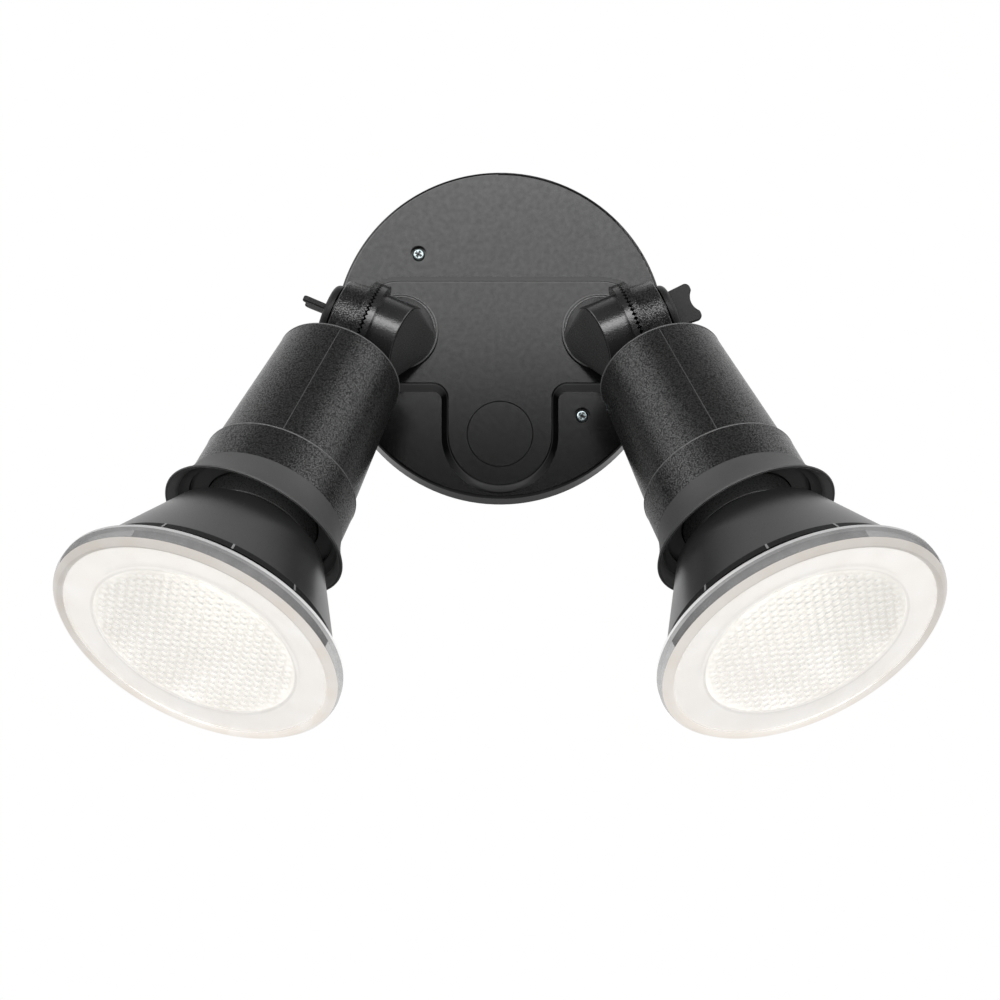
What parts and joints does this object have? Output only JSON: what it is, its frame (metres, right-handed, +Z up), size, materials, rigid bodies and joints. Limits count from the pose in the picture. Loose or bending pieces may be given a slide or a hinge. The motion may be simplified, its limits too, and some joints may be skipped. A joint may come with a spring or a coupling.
{
  "type": "twin head spotlight",
  "caption": "Round wall base with two reflector lamps in lampholders on toothed swivel knuckles, each clamped by a wing knob and sealed by a rubber skirt.",
  "frame": {"origin": "centre of the back of the round base, on the wall", "axes": "+X to the viewer's right, +Y into the wall, +Z up; the light faces -Y"},
  "size_m": [0.3378, 0.1837, 0.2459],
  "materials": {
    "base_plastic": "satin with a very fine texture",
    "plate_plastic": "plain moulded",
    "seal_rubber": "soft matt",
    "screw_steel": "zinc plated",
    "terminal_plastic": "plain moulded",
    "contact_brass": "bright",
    "lead_sheath": "smooth sheath",
    "knuckle_plastic": "satin with a fine grain",
    "inner_plastic": "plain moulded",
    "wing_plastic": "satin",
    "holder_plastic": "coarse moulded grain, semi-gloss",
    "socket_ceramic": "glazed",
    "skirt_rubber": "smooth matt",
    "lamp_plastic": "smooth satin",
    "lens_clear": "clear, with a pattern of small lenses in the middle",
    "reflector_coat": "bright coating",
    "spreader_aluminium": "turned",
    "board_laminate": "solder mask",
    "emitter_phosphor": "phosphor cover",
    "driver_case": "moulded",
    "cap_metal": "nickel plated",
    "cap_glass": "black insulator",
    "tip_solder": "solder"
  },
  "bodies": {
    "base": {"base_cover": "base_plastic", "mounting_plate": "plate_plastic", "wall_seal": "seal_rubber", "blanking_plug": "base_plastic", "cover_screws": "screw_steel", "terminal_block": "terminal_plastic", "terminal_screws": "contact_brass", "base_leads": "lead_sheath"},
    "left_turret": {"left_turret": "knuckle_plastic", "left_turret_seal": "seal_rubber", "left_turret_washer": "inner_plastic", "left_turret_nut": "inner_plastic", "left_clamp_insert": "contact_brass"},
    "left_head": {"left_lampholder": "holder_plastic", "left_socket_insert": "socket_ceramic", "left_screw_shell": "contact_brass", "left_centre_contact": "contact_brass", "left_contact_screws": "contact_brass", "left_holder_leads": "lead_sheath", "left_skirt": "skirt_rubber"},
    "left_clamp": {"left_clamp_washer": "screw_steel"},
    "left_wing": {"left_wing_knob": "wing_plastic", "left_clamp_bolt": "screw_steel"},
    "left_tip": {"left_tip_contact": "tip_solder"},
    "left_lamp": {"left_lamp_body": "lamp_plastic", "left_lamp_lens": "lens_clear", "left_reflector": "reflector_coat", "left_heat_spreader": "spreader_aluminium", "left_led_board": "board_laminate", "left_emitters": "emitter_phosphor", "left_driver_board": "board_laminate", "left_driver_parts": "driver_case", "left_lamp_cap": "cap_metal", "left_cap_insulator": "cap_glass"},
    "right_turret": {"right_turret": "knuckle_plastic", "right_turret_seal": "seal_rubber", "right_turret_washer": "inner_plastic", "right_turret_nut": "inner_plastic", "right_clamp_insert": "contact_brass"},
    "right_head": {"right_lampholder": "holder_plastic", "right_socket_insert": "socket_ceramic", "right_screw_shell": "contact_brass", "right_centre_contact": "contact_brass", "right_contact_screws": "contact_brass", "right_holder_leads": "lead_sheath", "right_skirt": "skirt_rubber"},
    "right_clamp": {"right_clamp_washer": "screw_steel"},
    "right_wing": {"right_wing_knob": "wing_plastic", "right_clamp_bolt": "screw_steel"},
    "right_tip": {"right_tip_contact": "tip_solder"},
    "right_lamp": {"right_lamp_body": "lamp_plastic", "right_lamp_lens": "lens_clear", "right_reflector": "reflector_coat", "right_heat_spreader": "spreader_aluminium", "right_led_board": "board_laminate", "right_emitters": "emitter_phosphor", "right_driver_board": "board_laminate", "right_driver_parts": "driver_case", "right_lamp_cap": "cap_metal", "right_cap_insulator": "cap_glass"}
  },
  "joints": [
    {"name": "left_pan", "type": "hinge", "parent": "base", "child": "left_turret", "pos_m": [-0.043, -0.02, 0], "axis": [0, 1, 0], "range_deg": [-12, 100]},
    {"name": "left_tilt", "type": "hinge", "parent": "left_turret", "child": "left_head", "pos_m": [-0.056, -0.0417, -0.00128], "axis": [-0.9225, 0, 0.3859], "range_deg": [-17, 44]},
    {"name": "left_clamp_slide", "type": "slide", "parent": "left_turret", "child": "left_clamp", "axis": [-0.9225, 0, 0.3859], "range_m": [0, 0.00165]},
    {"name": "left_wing_turn", "type": "hinge", "parent": "left_clamp", "child": "left_wing", "pos_m": [-0.056, -0.0417, -0.00128], "axis": [-0.9225, 0, 0.3859], "range_deg": [0, 720]},
    {"name": "left_tip_slide", "type": "slide", "parent": "left_head", "child": "left_tip", "axis": [-0.3266, -0.5329, -0.7806], "range_m": [0, 0.0181]},
    {"name": "left_lamp_turn", "type": "hinge", "parent": "left_tip", "child": "left_lamp", "pos_m": [-0.05729, -0.0417, -0.00074], "axis": [-0.3266, -0.5329, -0.7806], "range_deg": [0, 1800]},
    {"name": "right_pan", "type": "hinge", "parent": "base", "child": "right_turret", "pos_m": [0.043, -0.02, 0], "axis": [0, -1, 0], "range_deg": [-12, 100]},
    {"name": "right_tilt", "type": "hinge", "parent": "right_turret", "child": "right_head", "pos_m": [0.056, -0.0417, -0.00128], "axis": [-0.9225, 0, -0.3859], "range_deg": [-17, 44]},
    {"name": "right_clamp_slide", "type": "slide", "parent": "right_turret", "child": "right_clamp", "axis": [0.9225, 0, 0.3859], "range_m": [0, 0.00165]},
    {"name": "right_wing_turn", "type": "hinge", "parent": "right_clamp", "child": "right_wing", "pos_m": [0.056, -0.0417, -0.00128], "axis": [0.9225, 0, 0.3859], "range_deg": [0, 720]},
    {"name": "right_tip_slide", "type": "slide", "parent": "right_head", "child": "right_tip", "axis": [0.3266, -0.5329, -0.7806], "range_m": [0, 0.0181]},
    {"name": "right_lamp_turn", "type": "hinge", "parent": "right_tip", "child": "right_lamp", "pos_m": [0.05729, -0.0417, -0.00074], "axis": [0.3266, -0.5329, -0.7806], "range_deg": [0, 1800]}
  ],
  "couplings": [
    {"joint": "left_clamp_slide", "follows": "left_wing_turn", "m_per_rad": 0.00012732},
    {"joint": "left_tip_slide", "follows": "left_lamp_turn", "m_per_rad": 0.00057296},
    {"joint": "right_clamp_slide", "follows": "right_wing_turn", "m_per_rad": 0.00012732},
    {"joint": "right_tip_slide", "follows": "right_lamp_turn", "m_per_rad": 0.00057296}
  ]
}
